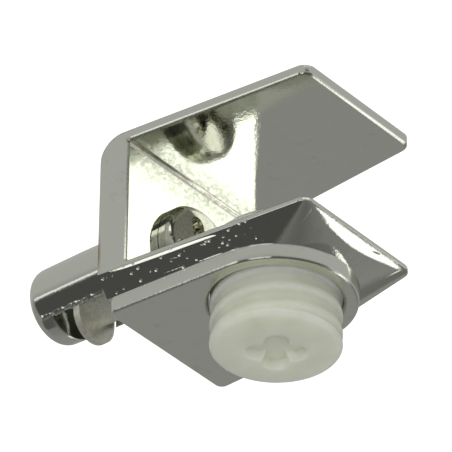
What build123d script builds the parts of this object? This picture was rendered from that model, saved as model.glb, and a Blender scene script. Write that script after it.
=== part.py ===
from build123d import *
import math
import os

# Clamping shelf support for a glass shelf, in millimetres.
# The origin is on the axis of the pin, where the pin leaves the back face.
# +X points out of the cabinet side along the jaws, +Z is up.

# Pin that plugs into the cabinet side
PIN_DIAMETER = 5.0
PIN_LENGTH = 9.1
PIN_END_DIAMETER = 4.88
PIN_END_ROUND = 0.8

# Web and jaws, one casting with the pin
WEB_THICKNESS = 1.95
JAW_REACH = 12.7
GLASS_GAP = 8.55
PIN_TO_UPPER_JAW = 4.55
BACK_WIDTH = 12.5
FRONT_WIDTH = 9.95
JAW_CORNER_RADIUS = 0.75
UPPER_JAW_THICKNESS = 0.67
LOWER_RIM_THICKNESS = 0.38
TOP_BACK_ROUND = 1.6
UPPER_CORNER_ROUND = 0.25
LOWER_CORNER_ROUND = 0.12
JAW_EDGE_ROUND = 0.18

# Boss under the lower jaw, which holds the clamp screw
BOSS_WIDTH = 9.8
BOSS_BACK_WIDTH = 10.6
BOSS_SLOPE_HEIGHT = 1.2
BOSS_WALL_HEIGHT = 0.99
BOSS_DRAFT = 4.0
BOSS_EDGE_ROUND = 0.12
BOSS_BACK_CORNER_ROUND = 0.5
CLAMP_FROM_WEB = 6.5

# Clamp screw, a moulded metric screw without a head
SCREW_DIAMETER = 7.8
SCREW_LENGTH = 7.6
SCREW_TIP_ABOVE_JAW = 1.8
SCREW_TIP_CHAMFER = 0.45
SCREW_END_ROUND = 0.9
SCREW_CLEARANCE = 0.08
BORE_CHAMFER = 0.15
RECESS_SPAN = 3.9
RECESS_ARM_WIDTH = 1.15
RECESS_DEPTH = 1.6
RECESS_TAPER = 12.0
RECESS_TURN = 30.0

# Locking spindle, which lies in a groove along the underside of the pin
SPINDLE_DROP = 0.74
SPINDLE_DIAMETER = 3.2
SPINDLE_CLEARANCE = 0.05
TONGUE_FROM_WALL = 5.4
TONGUE_THICKNESS = 0.52
TONGUE_WIDTH = 3.3
TONGUE_ANGLE = -90.0
TONGUE_EDGE_ROUND = 0.12
TONGUE_SLOT_CLEARANCE = 0.1
GROOVE_PAST_TONGUE = 1.6
TONGUE_INSIDE_PIN = 0.38
HEAD_SEAT_GAP = 0.03
HEAD_TO_JAW_GAP = 0.1
HEAD_HEIGHT = 0.82
HEAD_EDGE_ROUND = 0.42
HEAD_RECESS_SPAN = 4.8
HEAD_RECESS_ARM_WIDTH = 1.1
HEAD_RECESS_TURN = 15.0
HEAD_RECESS_FLOOR = 0.25
HEAD_RECESS_TAPER = 8.0
HEAD_RECESS_CENTRE_DIAMETER = 2.0
HEAD_RECESS_CENTRE_DEPTH = 1.6

# How far from a stated place a face or edge may be and still be found there
FINDING_MARGIN = 0.01

# Heights and distances that follow from the sizes above
pin_radius = PIN_DIAMETER / 2
upper_jaw_underside = PIN_TO_UPPER_JAW
upper_jaw_top = upper_jaw_underside + UPPER_JAW_THICKNESS
lower_jaw_top = upper_jaw_underside - GLASS_GAP
rim_bottom = lower_jaw_top - LOWER_RIM_THICKNESS
boss_wall_top = rim_bottom - BOSS_SLOPE_HEIGHT
boss_bottom = boss_wall_top - BOSS_WALL_HEIGHT
jaw_front = WEB_THICKNESS + JAW_REACH
clamp_x = WEB_THICKNESS + CLAMP_FROM_WEB

screw_radius = SCREW_DIAMETER / 2
screw_bore_radius = screw_radius + SCREW_CLEARANCE
screw_tip = lower_jaw_top + SCREW_TIP_ABOVE_JAW

spindle_radius = SPINDLE_DIAMETER / 2
groove_radius = spindle_radius + SPINDLE_CLEARANCE
tongue_reach = pin_radius + SPINDLE_DROP - TONGUE_INSIDE_PIN
tongue_front = -TONGUE_FROM_WALL
tongue_back = tongue_front - TONGUE_THICKNESS
slot_front = tongue_front + TONGUE_SLOT_CLEARANCE
slot_back = tongue_back - TONGUE_SLOT_CLEARANCE
groove_end = tongue_back - GROOVE_PAST_TONGUE
head_seat = WEB_THICKNESS + HEAD_SEAT_GAP
head_front = head_seat + HEAD_HEIGHT
head_radius = -SPINDLE_DROP - lower_jaw_top - HEAD_TO_JAW_GAP

# Upright plane across the pin: its local x is world Y and its local y is world Z
ACROSS_PIN = Plane(origin=(0, 0, 0), x_dir=(0, 1, 0), z_dir=(1, 0, 0))


def across(x):
    """The upright plane across the pin at a distance x from the back face."""
    return ACROSS_PIN.offset(x)


def along_pin(radius, start, end, drop=0.0):
    """A round bar parallel to the pin, lowered from its axis by drop."""
    disc = Pos(0, -drop) * Circle(radius)
    return extrude(across(start) * disc, amount=end - start)


def jaw_plan():
    """Plan of both jaws: it narrows to the front, where the corners are round."""
    half_back = BACK_WIDTH / 2
    half_front = FRONT_WIDTH / 2
    outline = Polyline(
        (0, -half_back),
        (jaw_front, -half_front),
        (jaw_front, half_front),
        (0, half_back),
        close=True,
    )
    plan = make_face(outline)
    front_corners = plan.vertices().group_by(Axis.X)[-1]
    return fillet(front_corners, JAW_CORNER_RADIUS)


def boss_plan(back=0.0):
    """Plan of the boss: its sides draw in from the back and run into the round about the screw."""
    radius = BOSS_WIDTH / 2
    half_back = BOSS_BACK_WIDTH / 2
    draw_in = math.atan(half_back / clamp_x) - math.asin(radius / math.hypot(half_back, clamp_x))
    side = (clamp_x + radius * math.sin(draw_in), radius * math.cos(draw_in))
    rear_corner = (back, half_back - back * math.tan(draw_in))
    # The round front is split where the corners of the jaw face it
    slant = radius * 0.5 ** 0.5
    left = Line((rear_corner[0], -rear_corner[1]), (side[0], -side[1]))
    left_arc = RadiusArc(left @ 1, (clamp_x + slant, -slant), -radius)
    front_arc = RadiusArc(left_arc @ 1, (clamp_x + slant, slant), -radius)
    right_arc = RadiusArc(front_arc @ 1, side, -radius)
    right = Line(right_arc @ 1, rear_corner)
    rear = Line(right @ 1, left @ 0)
    return make_face([left, left_arc, front_arc, right_arc, right, rear])


def tongue_shape(angle, width):
    """Finger with a round end, seen along the spindle, that points at an angle."""
    radius = width / 2
    tip_centre = tongue_reach - TONGUE_WIDTH / 2
    finger = Pos(tip_centre, 0) * Circle(radius)
    finger += Pos(tip_centre / 2, 0) * Rectangle(tip_centre, width)
    return Pos(0, -SPINDLE_DROP) * Rot(0, 0, angle) * finger


def jaws_and_web():
    """The clamp: web, thin upper jaw, and lower jaw with its sloped underside."""
    block = extrude(Pos(0, 0, rim_bottom) * jaw_plan(), amount=upper_jaw_top - rim_bottom)
    top_back = block.edges().filter_by(Axis.Y).group_by(Axis.X)[0].sort_by(Axis.Z)[-1]
    block = fillet(top_back, TOP_BACK_ROUND)

    room = Pos(WEB_THICKNESS, 0, lower_jaw_top) * Box(
        2 * JAW_REACH, 2 * BACK_WIDTH, GLASS_GAP, align=(Align.MIN, Align.CENTER, Align.MIN)
    )
    clamp = block - room
    inner_corners = clamp.edges().filter_by(Axis.Y).filter_by_position(
        Axis.X, WEB_THICKNESS - FINDING_MARGIN, WEB_THICKNESS + FINDING_MARGIN
    )
    inner_corners = inner_corners.sort_by(Axis.Z)
    clamp = fillet(inner_corners[-1], UPPER_CORNER_ROUND)
    clamp = fillet(
        clamp.edges().filter_by(Axis.Y).filter_by_position(
            Axis.X, WEB_THICKNESS - FINDING_MARGIN, WEB_THICKNESS + FINDING_MARGIN
        ).sort_by(Axis.Z)[0],
        LOWER_CORNER_ROUND,
    )

    underside = clamp.faces().filter_by_position(
        Axis.Z, upper_jaw_underside - FINDING_MARGIN, upper_jaw_underside + FINDING_MARGIN
    ).sort_by(Axis.X)[-1]
    underside_rim = underside.edges().filter_by_position(
        Axis.X, WEB_THICKNESS + 2 * UPPER_CORNER_ROUND, jaw_front + FINDING_MARGIN
    )
    clamp = fillet(underside_rim, JAW_EDGE_ROUND)

    slope = loft(
        [
            Pos(0, 0, boss_wall_top) * boss_plan(),
            Pos(0, 0, rim_bottom) * jaw_plan(),
        ],
        ruled=True,
    )
    # The wall is drafted on every side, so it starts behind the back face and is cut off flat there
    boss_wall = extrude(
        Pos(0, 0, boss_wall_top) * boss_plan(-WEB_THICKNESS),
        amount=-BOSS_WALL_HEIGHT,
        taper=BOSS_DRAFT,
    )
    boss_wall -= Box(
        2 * WEB_THICKNESS, 2 * BACK_WIDTH, 4 * GLASS_GAP, align=(Align.MAX, Align.CENTER, Align.CENTER)
    )
    back_edges = boss_wall.edges().filter_by_position(Axis.X, -FINDING_MARGIN, FINDING_MARGIN)
    back_corners = back_edges.sort_by(Axis.Y)
    boss_wall = fillet([back_corners[0], back_corners[-1]], BOSS_BACK_CORNER_ROUND)
    boss_wall = fillet(boss_wall.faces().sort_by(Axis.Z)[0].edges(), BOSS_EDGE_ROUND)
    return clamp + slope + boss_wall


def pin():
    """The pin: full size up to the tongue's slot, then slightly tapered to a round end."""
    full_size = along_pin(pin_radius, slot_front, WEB_THICKNESS / 2)
    tapered = loft(
        [
            across(slot_front) * Circle(pin_radius),
            across(-PIN_LENGTH) * Circle(PIN_END_DIAMETER / 2),
        ]
    )
    far_end = tapered.edges().sort_by(Axis.X)[0]
    return full_size + fillet(far_end, PIN_END_ROUND)


def spindle_room():
    """What the casting leaves free for the spindle: bore, open groove and slot."""
    bore = along_pin(groove_radius, groove_end, WEB_THICKNESS * 2, SPINDLE_DROP)
    open_side = Pos(groove_end, 0, -SPINDLE_DROP) * Box(
        -groove_end,
        2 * groove_radius,
        PIN_DIAMETER,
        align=(Align.MIN, Align.CENTER, Align.MAX),
    )

    # The tongue swings up through the +Y side, so that side is open to it
    swing_radius = tongue_reach + TONGUE_SLOT_CLEARANCE
    slot_width = TONGUE_WIDTH + 2 * TONGUE_SLOT_CLEARANCE
    half_turn = Pos(0, -SPINDLE_DROP) * Circle(swing_radius)
    half_turn &= Pos(swing_radius / 2, -SPINDLE_DROP) * Rectangle(swing_radius, 2 * swing_radius)
    swing = half_turn + tongue_shape(90, slot_width) + tongue_shape(-90, slot_width)
    slot = extrude(across(slot_back) * swing, amount=slot_front - slot_back)
    return bore + open_side + slot


def bracket_body():
    """The cast body: clamp and pin, less the spindle's room and the screw bore."""
    body = jaws_and_web() + pin() - spindle_room()
    bore_height = lower_jaw_top - boss_bottom
    screw_bore = Pos(clamp_x, 0, boss_bottom) * Cylinder(
        screw_bore_radius, bore_height, align=(Align.CENTER, Align.CENTER, Align.MIN)
    )
    countersink = Pos(clamp_x, 0, boss_bottom) * Cone(
        screw_bore_radius + BORE_CHAMFER,
        screw_bore_radius,
        BORE_CHAMFER,
        align=(Align.CENTER, Align.CENTER, Align.MIN),
    )
    return body - screw_bore - countersink


def cross_recess(place, span, arm_width, depth, taper):
    """Tapered recess for a cross-head screwdriver, cut from a plane in the head."""
    arm = SlotOverall(span, arm_width)
    cross = arm + Rot(0, 0, 90) * arm
    return extrude(place * cross, amount=depth, taper=taper)


def lock_spindle():
    """Spindle with a tongue at its far end and a low cross-recessed head inside the jaws."""
    shaft = along_pin(spindle_radius, tongue_back, head_front, SPINDLE_DROP)

    tongue = extrude(
        across(tongue_back) * tongue_shape(TONGUE_ANGLE, TONGUE_WIDTH), amount=TONGUE_THICKNESS
    )
    tongue = fillet(tongue.edges().group_by(Axis.X)[0], TONGUE_EDGE_ROUND)

    head = along_pin(head_radius, head_seat, head_front, SPINDLE_DROP)
    head = fillet(head.edges().group_by(Axis.X)[-1], HEAD_EDGE_ROUND)

    recess = cross_recess(
        across(head_front) * Pos(0, -SPINDLE_DROP) * Rot(0, 0, HEAD_RECESS_TURN),
        HEAD_RECESS_SPAN,
        HEAD_RECESS_ARM_WIDTH,
        -(HEAD_HEIGHT - HEAD_RECESS_FLOOR),
        HEAD_RECESS_TAPER,
    )
    centre_radius = HEAD_RECESS_CENTRE_DIAMETER / 2
    centre = extrude(
        across(head_front) * Pos(0, -SPINDLE_DROP) * Circle(centre_radius),
        amount=-HEAD_RECESS_CENTRE_DEPTH,
        taper=HEAD_RECESS_TAPER,
    )
    return shaft + tongue + head - recess - centre


def clamp_screw():
    """Screw that presses the shelf up against the upper jaw, with a cross recess."""
    screw = Pos(clamp_x, 0, screw_tip) * Cylinder(
        screw_radius, SCREW_LENGTH, align=(Align.CENTER, Align.CENTER, Align.MAX)
    )
    screw = chamfer(screw.edges().sort_by(Axis.Z)[-1], SCREW_TIP_CHAMFER)
    screw = fillet(screw.edges().filter_by(GeomType.CIRCLE).sort_by(Axis.Z)[0], SCREW_END_ROUND)

    screw_end = Plane.XY * Pos(clamp_x, 0, screw_tip - SCREW_LENGTH) * Rot(0, 0, RECESS_TURN)
    return screw - cross_recess(
        screw_end, RECESS_SPAN, RECESS_ARM_WIDTH, RECESS_DEPTH, RECESS_TAPER
    )


PARTS = {
    "bracket_body": bracket_body,
    "lock_spindle": lock_spindle,
    "clamp_screw": clamp_screw,
}

os.makedirs("parts", exist_ok=True)
for name, make in PARTS.items():
    solid = make()
    export_step(solid, f"parts/{name}.step")
    print(name, len(solid.solids()), "solid, volume", round(solid.volume, 3))
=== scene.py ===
import math
import bmesh
import bpy
import numpy as np
from mathutils import Matrix, Vector


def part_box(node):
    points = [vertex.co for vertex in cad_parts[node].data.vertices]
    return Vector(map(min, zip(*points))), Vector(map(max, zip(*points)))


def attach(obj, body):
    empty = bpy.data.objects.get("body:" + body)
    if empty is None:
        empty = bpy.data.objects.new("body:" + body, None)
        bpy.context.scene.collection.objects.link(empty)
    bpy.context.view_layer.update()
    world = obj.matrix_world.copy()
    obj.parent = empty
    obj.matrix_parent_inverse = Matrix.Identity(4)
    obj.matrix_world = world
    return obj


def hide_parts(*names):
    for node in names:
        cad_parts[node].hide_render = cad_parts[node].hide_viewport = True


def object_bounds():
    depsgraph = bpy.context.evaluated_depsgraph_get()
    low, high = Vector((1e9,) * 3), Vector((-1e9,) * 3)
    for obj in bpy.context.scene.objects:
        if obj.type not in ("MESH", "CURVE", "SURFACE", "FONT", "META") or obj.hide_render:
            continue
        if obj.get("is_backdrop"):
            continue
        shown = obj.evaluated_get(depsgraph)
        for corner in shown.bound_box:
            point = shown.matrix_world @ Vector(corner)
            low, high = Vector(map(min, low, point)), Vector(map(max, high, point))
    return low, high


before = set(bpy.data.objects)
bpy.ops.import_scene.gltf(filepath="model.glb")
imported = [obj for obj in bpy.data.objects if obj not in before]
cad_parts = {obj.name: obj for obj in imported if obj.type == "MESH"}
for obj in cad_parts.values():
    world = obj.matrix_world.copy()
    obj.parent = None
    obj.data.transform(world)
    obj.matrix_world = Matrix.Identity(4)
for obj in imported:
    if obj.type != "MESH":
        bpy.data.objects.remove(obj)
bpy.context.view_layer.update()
bpy.context.scene.view_settings.view_transform = "Standard"


# Camera
# It looks up at the support from below, from the side of the screw's end,
# through a long lens that hardly narrows the far side.
CAMERA_AZIMUTH = 39.58
CAMERA_ELEVATION = -33.89
CAMERA_ROLL = 0.84
CAMERA_DISTANCE = 0.35471
CAMERA_LENS = 476.9
LOOK_FROM = Vector((0.005, 0.0, 0.0))
LOOK_AT = Vector((0.0048356, -0.0003356, 0.0002291))


def camera_axes(away):
    """Right, up and back directions of a camera that looks against away, level before it rolls."""
    level = Vector((0, 0, 1)).cross(away).normalized()
    upward = away.cross(level)
    roll = math.radians(CAMERA_ROLL)
    right = level * math.cos(roll) + upward * math.sin(roll)
    return right, away.cross(right), away


azimuth, elevation = math.radians(CAMERA_AZIMUTH), math.radians(CAMERA_ELEVATION)
away = Vector(
    (
        math.sin(azimuth) * math.cos(elevation),
        -math.cos(azimuth) * math.cos(elevation),
        math.sin(elevation),
    )
)
camera_place = LOOK_FROM + away * CAMERA_DISTANCE
camera = bpy.data.objects.new("camera", bpy.data.cameras.new("camera"))
bpy.context.scene.collection.objects.link(camera)
turn = Matrix(camera_axes((camera_place - LOOK_AT).normalized())).transposed().to_4x4()
camera.matrix_world = Matrix.Translation(camera_place) @ turn
camera.data.lens = CAMERA_LENS
camera.data.clip_start = 0.01
camera.data.clip_end = 10.0
bpy.context.scene.camera = camera


# Cast body
# A zinc casting with the pin, web and jaws in one, tumbled, then plated bright.
# The plating leaves a thin wavy skin with small pits and a few specks of dirt.
def node_maker(material):
    """Gives add(kind, **inputs) and link(source, target) for one material's node tree."""
    tree = material.node_tree

    def add(kind, **inputs):
        node = tree.nodes.new(kind)
        for name, value in inputs.items():
            if hasattr(node, name):
                setattr(node, name, value)
            else:
                node.inputs[name.replace("_", " ")].default_value = value
        return node

    def link(source, target):
        tree.links.new(source, target)

    return add, link


def new_material(name):
    """An empty material with its shader node, ready for a finish."""
    material = bpy.data.materials.new(name)
    material.use_nodes = True
    shader = material.node_tree.nodes["Principled BSDF"]
    return material, shader


def ramp(add, link, source, stops):
    """Colour ramp over a 0 to 1 value: stops are pairs of place and grey or colour."""
    node = add("ShaderNodeValToRGB")
    while len(node.color_ramp.elements) < len(stops):
        node.color_ramp.elements.new(0.5)
    for element, (place, colour) in zip(node.color_ramp.elements, stops):
        element.position = place
        element.color = (*colour, 1.0) if isinstance(colour, tuple) else (colour, colour, colour, 1.0)
    link(source, node.inputs["Fac"])
    return node.outputs["Color"]


CHROME_COLOUR = (0.745, 0.765, 0.685)
CHROME_STAIN = (0.58, 0.55, 0.47)
CHROME_ROUGHNESS = 0.05
STAIN_PER_METRE = 900.0
EDGE_ROUNDING = 0.00019
PEEL_PER_METRE = 4200.0
PEEL_HEIGHT = 0.000004
WAVE_PER_METRE = 420.0
WAVE_HEIGHT = 0.0000096
PIT_PER_METRE = 3000.0
PIT_DEPTH = 0.00004
PITTED_FROM = -0.0057
PITTED_TO = -0.0043
PITTED_EDGE = 0.00005
PITTED_AS_FAR_AS = 0.0105
PITTED_FADE = 0.001
CLEAR_OF_BACK = 0.0002
CORNER_X = 0.00195
CORNER_Z = 0.00455
STREAK_PER_METRE = 2600.0
HAZE_REACH = 0.0033
HAZE_ROUGHNESS = 0.24
SEAM_REACH = 0.0003
ROOT_X = 0.00005
ROOT_Y = -0.0062
ROOT_Z = -0.0029
ROOT_REACH = 0.0002
ROOT_HEIGHT = 0.0016
COPPER_TINT = (0.42, 0.29, 0.16)

chrome, shader = new_material("bright_plating")
add, link = node_maker(chrome)


def fade(value, start, stop):
    """0 where a value is at start and 1 at stop, smooth between, in the material being made."""
    node = add("ShaderNodeMapRange", interpolation_type="SMOOTHSTEP")
    link(value, node.inputs["Value"])
    node.inputs["From Min"].default_value = start
    node.inputs["From Max"].default_value = stop
    return node.outputs["Result"]


def combine(operation, first, second):
    """Two values worked together by one operation. The second may be a plain number."""
    node = add("ShaderNodeMath", operation=operation)
    link(first, node.inputs[0])
    if isinstance(second, float):
        node.inputs[1].default_value = second
    else:
        link(second, node.inputs[1])
    return node.outputs[0]


def near(value, middle, reach):
    """1 where a coordinate is at a middle value, falling to 0 a reach away from it."""
    away = add("ShaderNodeMath", operation="ABSOLUTE")
    link(combine("SUBTRACT", value, middle), away.inputs[0])
    return fade(away.outputs[0], reach, 0.0)


def between(share, low, high):
    """A number that goes from low to high as its share goes from 0 to 1."""
    node = add("ShaderNodeMix", data_type="FLOAT")
    link(share, node.inputs[0])
    node.inputs[2].default_value = low
    node.inputs[3].default_value = high
    return node.outputs[0]


def noise(place, per_metre, detail, rough):
    """Cloudy noise over a piece."""
    node = add("ShaderNodeTexNoise", Scale=per_metre, Detail=detail, Roughness=rough)
    link(place, node.inputs["Vector"])
    return node.outputs["Fac"]


def relief(height, depth, beneath=None, strength=None):
    """The shading normal of a height map of one depth, laid over another normal."""
    node = add("ShaderNodeBump", Distance=depth)
    link(height, node.inputs["Height"])
    if strength is not None:
        link(strength, node.inputs["Strength"])
    if beneath is not None:
        link(beneath, node.inputs["Normal"])
    return node.outputs["Normal"]


place = add("ShaderNodeTexCoord").outputs["Object"]
split_place = add("ShaderNodeSeparateXYZ")
link(place, split_place.inputs[0])
x_place, y_place, z_place = split_place.outputs

# faint stains, and haze and copper showing through where web and upper jaw meet
stain_share = ramp(add, link, noise(place, STAIN_PER_METRE, 5.0, 0.65), [(0.58, 0.0), (0.85, 0.6)])
stained = add("ShaderNodeMix", data_type="RGBA")
link(stain_share, stained.inputs[0])
stained.inputs[6].default_value = (*CHROME_COLOUR, 1)
stained.inputs[7].default_value = (*CHROME_STAIN, 1)
streaks = ramp(add, link, noise(place, STREAK_PER_METRE, 4.0, 0.7), [(0.38, 0.0), (0.66, 1.0)])
in_corner = combine(
    "MULTIPLY",
    near(x_place, CORNER_X, HAZE_REACH),
    near(z_place, CORNER_Z, HAZE_REACH),
)
haze = combine("MULTIPLY", in_corner, streaks)
in_seam = combine(
    "MULTIPLY",
    near(x_place, CORNER_X, SEAM_REACH),
    near(z_place, CORNER_Z, SEAM_REACH),
)
at_root = combine(
    "MULTIPLY",
    combine(
        "MULTIPLY",
        near(x_place, ROOT_X, ROOT_REACH),
        near(z_place, ROOT_Z, ROOT_HEIGHT),
    ),
    near(y_place, ROOT_Y, ROOT_REACH),
)
worn = combine("MAXIMUM", haze, at_root)
link(between(worn, CHROME_ROUGHNESS, HAZE_ROUGHNESS), shader.inputs["Roughness"])
brown = combine("MAXIMUM", combine("MULTIPLY", in_seam, streaks), at_root)
copper = add("ShaderNodeMix", data_type="RGBA")
link(brown, copper.inputs[0])
link(stained.outputs[2], copper.inputs[6])
copper.inputs[7].default_value = (*COPPER_TINT, 1)
link(copper.outputs[2], shader.inputs["Base Color"])
shader.inputs["Metallic"].default_value = 1.0

# pits along the side of the lower jaw, under a fine skin and slow waves
pit = add("ShaderNodeTexVoronoi", Scale=PIT_PER_METRE)
link(place, pit.inputs["Vector"])
pit_wall = ramp(add, link, pit.outputs["Distance"], [(0.0, 0.0), (0.34, 1.0)])
pit_cell = ramp(add, link, pit.outputs["Color"], [(0.55, 0.0), (0.58, 1.0)])
where_pitted = combine(
    "MULTIPLY",
    fade(z_place, PITTED_TO + PITTED_EDGE, PITTED_TO),
    fade(z_place, PITTED_FROM - PITTED_EDGE, PITTED_FROM),
)
along_side = combine(
    "MULTIPLY",
    fade(x_place, PITTED_AS_FAR_AS + PITTED_FADE, PITTED_AS_FAR_AS),
    fade(x_place, 0.0, CLEAR_OF_BACK),
)
pit_share = combine("MULTIPLY", combine("MULTIPLY", where_pitted, along_side), pit_cell)
rounded = add("ShaderNodeBevel", Radius=EDGE_ROUNDING)
rounded.samples = 6
wavy = relief(noise(place, WAVE_PER_METRE, 1.0, 0.5), WAVE_HEIGHT, rounded.outputs["Normal"])
peeled = relief(noise(place, PEEL_PER_METRE, 3.0, 0.6), PEEL_HEIGHT, wavy)
link(relief(pit_wall, PIT_DEPTH, peeled, pit_share), shader.inputs["Normal"])

SHARP_ANGLE = 32.0


def smooth_copy(node, name):
    """A merged copy of a CAD node: flat faces stay flat and rounds shade smoothly."""
    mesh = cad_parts[node].data.copy()
    mesh.name = name
    work = bmesh.new()
    work.from_mesh(mesh)
    bmesh.ops.remove_doubles(work, verts=work.verts, dist=1e-7)
    for face in work.faces:
        face.smooth = True
    for edge in work.edges:
        if len(edge.link_faces) == 2:
            edge.smooth = edge.calc_face_angle(0.0) < math.radians(SHARP_ANGLE)
    work.to_mesh(mesh)
    work.free()
    piece = bpy.data.objects.new(name, mesh)
    bpy.context.scene.collection.objects.link(piece)
    weigh = piece.modifiers.new("flat_faces", "WEIGHTED_NORMAL")
    weigh.weight = 100
    weigh.keep_sharp = True
    return piece


body = smooth_copy("bracket_body", "plated_body")
body.data.materials.clear()
body.data.materials.append(chrome)
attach(body, "bracket")
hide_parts("bracket_body")


# Flash line along the pin
# Where the two halves of the mould met, the zinc casting keeps a thin wavy raised line
# down the pin. It is one with the pin and plated with it.
FLASH_START = -0.0082
FLASH_END = -0.0001
FLASH_TURN = math.radians(225.5)
FLASH_WIDTH = 0.00014
FLASH_HEIGHT = 0.00004
FLASH_SUNK = 0.00001
PIN_RADIUS = 0.0025


def flash_points():
    """A low ridge along the pin: its width and its turn round the pin wander as sums of sines."""
    x = np.linspace(FLASH_START, FLASH_END, 220)[:, None]
    across = np.linspace(-1, 1, 9)[None, :]
    wander = np.sin(x * 5200) + 0.6 * np.sin(x * 11300 + 1) + 0.5 * np.sin(x * 19100 + 2)
    width = FLASH_WIDTH * (1 + 0.3 * wander)
    turn = FLASH_TURN + (0.12 * FLASH_WIDTH * wander + across * width) / PIN_RADIUS
    radius = PIN_RADIUS - FLASH_SUNK + FLASH_HEIGHT * (1 - across**2) * (1 + 0.25 * wander)
    return np.stack(
        [np.broadcast_to(x, turn.shape), radius * np.cos(turn), radius * np.sin(turn)],
        axis=-1,
    )


def sheet_mesh(name, points):
    """A smooth open mesh over a grid of points."""
    rows, columns = points.shape[:2]
    index = np.arange(rows * columns).reshape(rows, columns)
    quads = np.stack([index[:-1, :-1], index[:-1, 1:], index[1:, 1:], index[1:, :-1]], axis=-1)
    mesh = bpy.data.meshes.new(name)
    mesh.from_pydata(points.reshape(-1, 3).tolist(), [], quads.reshape(-1, 4).tolist())
    mesh.polygons.foreach_set("use_smooth", np.ones(len(mesh.polygons), bool))
    mesh.update()
    return mesh


flash = bpy.data.objects.new("pin_flash", sheet_mesh("pin_flash", flash_points()))
bpy.context.scene.collection.objects.link(flash)
flash.data.materials.append(chrome)
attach(flash, "bracket")


# Slope under the lower jaw
# The casting swells softly from the thin rim of the lower jaw to the wall of the boss.
# This skin lies on the straight slope of the solid and gives it the soft cast shape.
screw_low, screw_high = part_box("clamp_screw")
SCREW_X = (screw_low[0] + screw_high[0]) / 2
JAW_BACK_HALF = 0.00625
JAW_FRONT_HALF = 0.004975
JAW_FRONT_X = 0.01465
JAW_CORNER = 0.00075
RIM_BOTTOM = -0.00438
WALL_TOP = -0.00558
BOSS_RADIUS = 0.0049
BOSS_BACK_HALF = 0.0053
SKIN_LIFT = 0.000004
SIDE_LEAN = math.radians(38.0)
FRONT_LEAN = math.radians(77.0)
EDGE_LEAN = math.radians(50.0)
FRONT_EDGE_WIDTH = 0.00085
FLANK_FORWARD = 0.06
HIP_SPREAD = 0.95
HIP_SOFTNESS = 0.0006
HIP_OUT = 0.42
LEFT_HIP = 0.55
RIGHT_HIP = 0.2


def run(start, stop, count):
    """Evenly spaced points of a straight line, the last one left out."""
    share = np.linspace(0, 1, count, endpoint=False)[:, None]
    return np.array(start) * (1 - share) + np.array(stop) * share


def bow(centre, radius, start, stop, count):
    """Evenly spaced points of an arc, the last one left out."""
    turn = np.linspace(start, stop, count, endpoint=False)
    return np.stack([centre[0] + radius * np.cos(turn), centre[1] + radius * np.sin(turn)], axis=-1)


def smooth_step(value, start, stop):
    """0 below start, 1 above stop, and a cubic between them."""
    t = np.clip((value - start) / (stop - start), 0.0, 1.0)
    return t * t * (3 - 2 * t)


def slope_points():
    """Straight rulings from the rim's plan to the boss's plan, left half mirrored to the right.

    The rim's plan is a tapering side, a small round corner and a straight front. The boss's plan
    is a side that draws in and runs into a round about the screw.
    """
    taper = math.atan2(JAW_BACK_HALF - JAW_FRONT_HALF, JAW_FRONT_X)
    corner_turn = math.pi / 2 - taper
    set_back = JAW_CORNER * math.tan(corner_turn / 2)
    along_side = np.array([math.cos(taper), math.sin(taper)])
    side_end = np.array([JAW_FRONT_X, -JAW_FRONT_HALF]) - set_back * along_side
    centre = side_end + JAW_CORNER * np.array([-math.sin(taper), math.cos(taper)])
    from_back = math.hypot(BOSS_BACK_HALF, SCREW_X)
    draw_in = math.atan(BOSS_BACK_HALF / SCREW_X) - math.asin(BOSS_RADIUS / from_back)
    boss_side_end = (SCREW_X + BOSS_RADIUS * math.sin(draw_in), -BOSS_RADIUS * math.cos(draw_in))
    boss_centre = (SCREW_X, 0)
    rim = np.concatenate(
        [
            run((0, -JAW_BACK_HALF), side_end, 48),
            bow(centre, JAW_CORNER, -math.pi / 2 + taper, 0, 32),
            run((JAW_FRONT_X, centre[1]), (JAW_FRONT_X, 0), 32),
        ]
    )
    boss = np.concatenate(
        [
            run((0, -BOSS_BACK_HALF), boss_side_end, 48),
            bow(boss_centre, BOSS_RADIUS, -math.pi / 2 + draw_in, -math.pi / 4, 32),
            bow(boss_centre, BOSS_RADIUS, -math.pi / 4, 0, 32),
        ]
    )
    rim = np.concatenate([rim, [[JAW_FRONT_X, 0]], rim[::-1] * (1, -1)])
    boss = np.concatenate([boss, [[SCREW_X + BOSS_RADIUS, 0]], boss[::-1] * (1, -1)])
    share = np.linspace(0, 1, 25)[None, :, None]
    flat = rim[:, None] * (1 - share) + boss[:, None] * share
    height = np.broadcast_to(RIM_BOTTOM + (WALL_TOP - RIM_BOTTOM) * share, flat.shape[:2] + (1,))
    return np.concatenate([flat, height - SKIN_LIFT], axis=-1)


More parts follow.
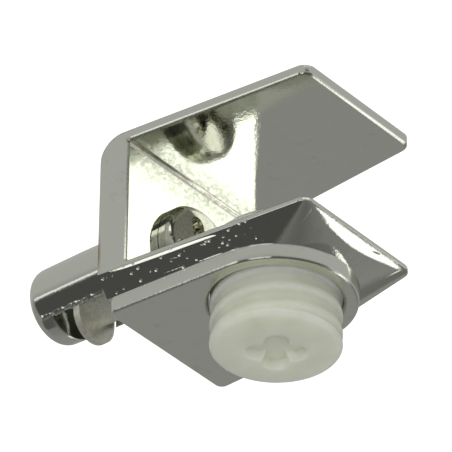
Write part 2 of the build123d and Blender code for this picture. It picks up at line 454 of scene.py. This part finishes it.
def slope_normals(points):
    """Directions that the cast skin faces: a steep side and a nearly level front.

    They blend over the soft hip that runs from the jaw's corner to the boss, where they also
    turn outward. The level part rolls over to the rim along the front edge.
    """
    x, y = points[..., 0], np.abs(points[..., 1])
    side = np.sign(points[..., 1])
    from_side = JAW_BACK_HALF - (JAW_BACK_HALF - JAW_FRONT_HALF) * x / JAW_FRONT_X - y
    from_front = JAW_FRONT_X - x
    hip = np.where(points[..., 1] > 0, RIGHT_HIP, LEFT_HIP)
    balance = (from_side - hip * from_front) / (from_side + hip * from_front + HIP_SOFTNESS)
    front_share = smooth_step(balance, -HIP_SPREAD, HIP_SPREAD)[..., None]
    width = FRONT_EDGE_WIDTH * (1 - 0.8 * (y / JAW_FRONT_HALF) ** 2)
    lean = EDGE_LEAN + (FRONT_LEAN - EDGE_LEAN) * smooth_step(from_front, -0.2 * width, width)
    zero = np.zeros_like(x)
    front = np.stack([np.cos(lean), zero, -np.sin(lean)], axis=-1)
    flank = np.stack(
        [zero + FLANK_FORWARD, side * math.cos(SIDE_LEAN), zero - math.sin(SIDE_LEAN)],
        axis=-1,
    )
    outward = HIP_OUT * 6.75 * front_share * (1 - front_share) ** 2 * np.array([1, 0, 0])
    facing = flank * (1 - front_share) + front * front_share + outward
    return facing / np.linalg.norm(facing, axis=-1, keepdims=True)


grid = slope_points()
slope_mesh = sheet_mesh("jaw_slope", grid)
slope_mesh.normals_split_custom_set_from_vertices(slope_normals(grid).reshape(-1, 3).tolist())
slope = bpy.data.objects.new("jaw_slope", slope_mesh)
bpy.context.scene.collection.objects.link(slope)
slope.data.materials.append(chrome)
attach(slope, "bracket")


# Locking spindle
# A small zinc casting that isn't plated: a shaft under the pin, a flat tongue
# that digs into the wall of the hole, and a low head turned with a cross driver.
SPINDLE_COLOUR = (0.74, 0.735, 0.64)
SPINDLE_DARK = (0.56, 0.55, 0.46)
GRAIN_PER_METRE = 4200.0
GRAIN_HEIGHT = 0.00001
CAST_ROUGHNESS = 0.36
CAST_METAL = 0.7
CAST_GRAIN = 1.0
HEAD_ROUGHNESS = 0.07
HEAD_METAL = 1.0
HEAD_GRAIN = 0.12
HEAD_DOME_PER_METRE = 42.0
POLISH_FROM = 0.0005
POLISH_TO = 0.0019
SPINDLE_DROP = 0.00074

dull, shader = new_material("dull_casting")
add, link = node_maker(dull)
place = add("ShaderNodeTexCoord").outputs["Object"]
split_place = add("ShaderNodeSeparateXYZ")
link(place, split_place.inputs[0])
x_place, y_place, z_place = split_place.outputs
grain = noise(place, GRAIN_PER_METRE, 5.0, 0.7)
colour = add("ShaderNodeMix", data_type="RGBA")
link(ramp(add, link, grain, [(0.35, 0.0), (0.62, 1.0)]), colour.inputs[0])
colour.inputs[6].default_value = (*SPINDLE_DARK, 1)
colour.inputs[7].default_value = (*SPINDLE_COLOUR, 1)
link(colour.outputs[2], shader.inputs["Base Color"])
on_head = fade(x_place, POLISH_FROM, POLISH_TO)
link(between(on_head, CAST_ROUGHNESS, HEAD_ROUGHNESS), shader.inputs["Roughness"])
link(between(on_head, CAST_METAL, HEAD_METAL), shader.inputs["Metallic"])

# the head's face is faintly domed: its height falls with the square of the way from its axis
below_axis = combine("ADD", z_place, SPINDLE_DROP)
squared = combine(
    "ADD",
    combine("MULTIPLY", y_place, y_place),
    combine("MULTIPLY", below_axis, below_axis),
)
dome = relief(combine("MULTIPLY", squared, -HEAD_DOME_PER_METRE), 1.0, strength=on_head)
grain_share = between(on_head, CAST_GRAIN, HEAD_GRAIN)
link(relief(grain, GRAIN_HEIGHT, dome, grain_share), shader.inputs["Normal"])

spindle = smooth_copy("lock_spindle", "spindle")
spindle.data.materials.clear()
spindle.data.materials.append(dull)
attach(spindle, "spindle")
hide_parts("lock_spindle")


# Clamp screw
# A moulded nylon screw without a head, held by its thread in the boss. The thread shows
# as soft rounded ridges, and the end has a cross recess with edges softened by the mould.
SCREW_RADIUS = (screw_high[0] - screw_low[0]) / 2
SCREW_TIP = screw_high[2]
SCREW_END = screw_low[2]
THREAD_PITCH = 0.00128
THREAD_DEPTH = 0.00017
THREAD_START = 0.35
TIP_CHAMFER = 0.00045
END_ROUND = 0.0004
DOME_RISE = 0.00008
RECESS_REACH = 0.0018
RECESS_ARM = 0.00076
RECESS_DEPTH = 0.0006
RECESS_SLOPE = 0.00026
RECESS_TURN = math.radians(40.0)
RECESS_X = -0.0002
RECESS_Y = 0.00026
AROUND = 240
TIP_ROWS = 14
BARREL_ROWS = 170
CORNER_ROWS = 15
END_ROWS = 129


def grid_mesh(name, points):
    """Mesh over a grid of points, rows closed round, first and last rows closed to a point."""
    rows, columns = points.shape[:2]
    index = np.arange(rows * columns).reshape(rows, columns)
    right = np.roll(index, -1, axis=1)
    quads = np.stack([index[:-1], index[1:], right[1:], right[:-1]], axis=-1).reshape(-1, 4)
    top = rows * columns
    bottom = top + 1
    first = np.stack([index[0], right[0], np.full(columns, top)], axis=-1)
    last = np.stack([right[-1], index[-1], np.full(columns, bottom)], axis=-1)
    ends = np.stack([points[0].mean(axis=0), points[-1].mean(axis=0)])
    vertices = np.concatenate([points.reshape(-1, 3), ends])
    mesh = bpy.data.meshes.new(name)
    mesh.from_pydata(vertices.tolist(), [], quads.tolist() + first.tolist() + last.tolist())
    mesh.polygons.foreach_set("use_smooth", np.ones(len(mesh.polygons), bool))
    mesh.update()
    return mesh


def screw_surface():
    """Points of the screw, row by row from the tip to the middle of the recess.

    On the barrel the radius is the ridge radius less the thread depth times a rounded saw
    wave that climbs one pitch for each turn. On the end each point is raised by the dome and
    sunk by the recess depth where it lies inside the cross.
    """
    angle = np.linspace(0, 2 * np.pi, AROUND, endpoint=False)
    tip_share = np.append(np.linspace(0.05, 0.98, TIP_ROWS - 1), 1.0)[:, None]
    tip_radius = tip_share * (SCREW_RADIUS - TIP_CHAMFER)
    tip_rows = np.stack(
        [
            SCREW_X + tip_radius * np.cos(angle),
            tip_radius * np.sin(angle),
            np.full((TIP_ROWS, AROUND), SCREW_TIP),
        ],
        axis=-1,
    )
    height = np.linspace(SCREW_TIP, SCREW_END + END_ROUND, BARREL_ROWS)[:, None]
    phase = (height - SCREW_END) / THREAD_PITCH - angle / (2 * np.pi) + THREAD_START
    along_turn = phase % 1.0
    ridge = 1 - smooth_step(along_turn, 0.12, 0.62) + smooth_step(along_turn, 0.84, 1.0)
    below_tip = SCREW_TIP - height
    fade = smooth_step(height - SCREW_END, END_ROUND * 0.9, END_ROUND * 1.5)
    radius = SCREW_RADIUS - THREAD_DEPTH * (1 - ridge) * fade
    radius = np.minimum(radius, SCREW_RADIUS - TIP_CHAMFER + below_tip)
    barrel = np.stack(
        [
            SCREW_X + radius * np.cos(angle),
            radius * np.sin(angle),
            np.broadcast_to(height, radius.shape),
        ],
        axis=-1,
    )
    bend = np.linspace(0, np.pi / 2, CORNER_ROWS + 1)[1:, None]
    round_radius = SCREW_RADIUS - END_ROUND + END_ROUND * np.cos(bend)
    round_height = SCREW_END + DOME_RISE + (END_ROUND - DOME_RISE) * (1 - np.sin(bend))
    corner = np.stack(
        [
            SCREW_X + round_radius * np.cos(angle),
            round_radius * np.sin(angle),
            np.broadcast_to(round_height, (CORNER_ROWS, AROUND)),
        ],
        axis=-1,
    )
    flat_radius = np.linspace(1.0, 0.01, END_ROWS + 1)[1:, None] * (SCREW_RADIUS - END_ROUND)
    x = flat_radius * np.cos(angle)
    y = flat_radius * np.sin(angle)
    from_x, from_y = x - RECESS_X, y - RECESS_Y
    u = from_x * math.cos(RECESS_TURN) + from_y * math.sin(RECESS_TURN)
    v = -from_x * math.sin(RECESS_TURN) + from_y * math.cos(RECESS_TURN)

    def outside_arm(along, across):
        """Distance outside a bar with round ends: negative inside it."""
        over = np.maximum(np.abs(along) - (RECESS_REACH - RECESS_ARM), 0)
        return np.hypot(over, across) - RECESS_ARM

    away_from_cross = np.minimum(outside_arm(u, v), outside_arm(v, u))
    sunk = 1 - smooth_step(away_from_cross, -RECESS_SLOPE, RECESS_SLOPE * 0.4)
    dome = DOME_RISE * (flat_radius / (SCREW_RADIUS - END_ROUND)) ** 2
    end = np.stack(
        [SCREW_X + x, y, SCREW_END + dome + RECESS_DEPTH * sunk],
        axis=-1,
    )
    return np.concatenate([tip_rows, barrel[1:], corner, end])


NYLON_SHADE = (0.70, 0.72, 0.60)
NYLON_COLOUR = (0.76, 0.78, 0.68)
NYLON_ROUGHNESS = 0.42
NYLON_DEPTH = 0.0022
CLOUD_PER_METRE = 700.0
MOULD_PER_METRE = 2500.0
MOULD_HEIGHT = 0.000006

nylon, shader = new_material("natural_nylon")
add, link = node_maker(nylon)
place = add("ShaderNodeTexCoord").outputs["Object"]
cloud = noise(place, CLOUD_PER_METRE, 3.0, 0.5)
link(ramp(add, link, cloud, [(0.3, NYLON_SHADE), (0.7, NYLON_COLOUR)]), shader.inputs["Base Color"])
shader.inputs["Roughness"].default_value = NYLON_ROUGHNESS
shader.inputs["Subsurface Weight"].default_value = 1.0
shader.inputs["Subsurface Radius"].default_value = (1.0, 1.0, 0.8)
shader.inputs["Subsurface Scale"].default_value = NYLON_DEPTH
mould = noise(place, MOULD_PER_METRE, 3.0, 0.6)
link(relief(mould, MOULD_HEIGHT), shader.inputs["Normal"])

screw_mesh = grid_mesh("nylon_screw", screw_surface())
screw = bpy.data.objects.new("nylon_screw", screw_mesh)
bpy.context.scene.collection.objects.link(screw)
screw.data.materials.append(nylon)
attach(screw, "screw")
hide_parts("clamp_screw")


# Studio
# A pale room around the support. The plating mirrors it: grey walls above, a dark
# opening round the camera below, and a few white boards that draw the bright edges.
ROOM_LOW = 0.125
ROOM_LEVEL = 0.285
ROOM_HIGH = 0.46
OPENING_DARK = 0.075
SEEN_WHITE = 1.25

world = bpy.data.worlds.new("studio")
bpy.context.scene.world = world
world.use_nodes = True
tree = world.node_tree
tree.nodes.clear()


def sky(kind, *sources, **settings):
    """Adds one node to the studio's tree; sources fill its first inputs in order."""
    node = tree.nodes.new(kind)
    for name, value in settings.items():
        setattr(node, name, value)
    for socket, source in zip(node.inputs, sources):
        if isinstance(source, float):
            socket.default_value = source
        else:
            tree.links.new(source, socket)
    return node.outputs[0]


def rise(value, start, stop):
    """0 where a value is under start, 1 above stop, smooth between."""
    return sky("ShaderNodeMapRange", value, float(start), float(stop), interpolation_type="SMOOTHSTEP")


def board(room, turn_from, turn_to, height_from, height_to, soft, brightness):
    """The room with a board of one brightness between two turns and two heights, in degrees."""
    share = rise(turn, turn_from - soft, turn_from + soft)
    for edge in (
        rise(turn, turn_to + soft, turn_to - soft),
        rise(height, height_from - soft, height_from + soft),
        rise(height, height_to + soft, height_to - soft),
    ):
        share = sky("ShaderNodeMath", share, edge, operation="MULTIPLY")
    mixed = tree.nodes.new("ShaderNodeMix")
    tree.links.new(share, mixed.inputs[0])
    tree.links.new(room, mixed.inputs[2])
    mixed.inputs[3].default_value = brightness
    return mixed.outputs[0]


toward = tree.nodes.new("ShaderNodeTexCoord").outputs["Generated"]
split = tree.nodes.new("ShaderNodeSeparateXYZ")
tree.links.new(toward, split.inputs[0])
turn = sky(
    "ShaderNodeMath",
    sky("ShaderNodeMath", split.outputs[1], split.outputs[0], operation="ARCTAN2"),
    operation="DEGREES",
)
height = sky(
    "ShaderNodeMath",
    sky("ShaderNodeMath", split.outputs[2], operation="ARCSINE"),
    operation="DEGREES",
)
room = sky(
    "ShaderNodeMapRange",
    height,
    -80.0,
    -35.0,
    ROOM_LOW,
    ROOM_LEVEL,
    interpolation_type="LINEAR",
)
high = tree.nodes.new("ShaderNodeMix")
tree.links.new(rise(height, 2, 26), high.inputs[0])
tree.links.new(room, high.inputs[2])
high.inputs[3].default_value = ROOM_HIGH
room = high.outputs[0]
# the dark opening round the camera, and the darker corner left of it
room = board(room, -140, 20, -62, 3, 4, OPENING_DARK)
room = board(room, -200, -120, -56, -38, 4, 0.10)
# the white strip that draws the left lower edges of the jaws
room = board(room, -136, -110, 5, 9.5, 1, 1.1)
room = board(room, -118, -103, -22, 12, 1.5, 1.3)
room = board(room, -88, -58, -36, -6, 2, 1.3)
# the wall and the boards on the far right, which draw the front edges
room = board(room, 22, 62, -28, 22, 5, 0.55)
room = board(room, 42, 58, -31, -6, 3, 1.5)
room = board(room, 60, 97, -54, -41, 1.5, 1.6)
room = board(room, 47, 54.5, -37, -30.5, 1.5, 2.4)
room = board(room, 62, 112, -37, -22, 3, 0.17)
# high lamp and dark gap, which the round front of the lower jaw mirrors
room = board(room, -62, 6, 37, 48, 2.5, 1.3)
room = board(room, -46, -12, 28, 33, 1.5, 0.12)
seen = tree.nodes.new("ShaderNodeLightPath").outputs["Is Camera Ray"]
strength = tree.nodes.new("ShaderNodeMix")
tree.links.new(seen, strength.inputs[0])
tree.links.new(room, strength.inputs[2])
strength.inputs[3].default_value = SEEN_WHITE
background = tree.nodes.new("ShaderNodeBackground")
background.inputs["Color"].default_value = (1.0, 1.0, 0.985, 1.0)
tree.links.new(strength.outputs[0], background.inputs["Strength"])
output = tree.nodes.new("ShaderNodeOutputWorld")
tree.links.new(background.outputs[0], output.inputs["Surface"])

LAMP_SIZE = 0.25
LAMP_POWER = 0.66
lamp_data = bpy.data.lights.new("soft_lamp", "AREA")
lamp_data.size = LAMP_SIZE
lamp_data.energy = LAMP_POWER
lamp = bpy.data.objects.new("soft_lamp", lamp_data)
bpy.context.scene.collection.objects.link(lamp)
lamp_place = Vector((0.21, -0.26, -0.25))
lamp_turn = (lamp_place - LOOK_FROM).to_track_quat("Z", "Y").to_matrix().to_4x4()
lamp.matrix_world = Matrix.Translation(lamp_place) @ lamp_turn
lamp.visible_glossy = False

FLOOR_HEIGHT = -0.6
FLOOR_SIZE = 0.5
floor_mesh = bpy.data.meshes.new("floor")
corners = [(-1, -1), (1, -1), (1, 1), (-1, 1)]
floor_points = [(FLOOR_SIZE * x, FLOOR_SIZE * y, FLOOR_HEIGHT) for x, y in corners]
floor_mesh.from_pydata(floor_points, [], [(0, 1, 2, 3)])
floor = bpy.data.objects.new("floor", floor_mesh)
bpy.context.scene.collection.objects.link(floor)
pale, shader = new_material("pale_floor")
shader.inputs["Base Color"].default_value = (0.85, 0.85, 0.84, 1)
shader.inputs["Roughness"].default_value = 0.9
floor.data.materials.append(pale)
floor.visible_glossy = False
floor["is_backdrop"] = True

low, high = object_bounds()
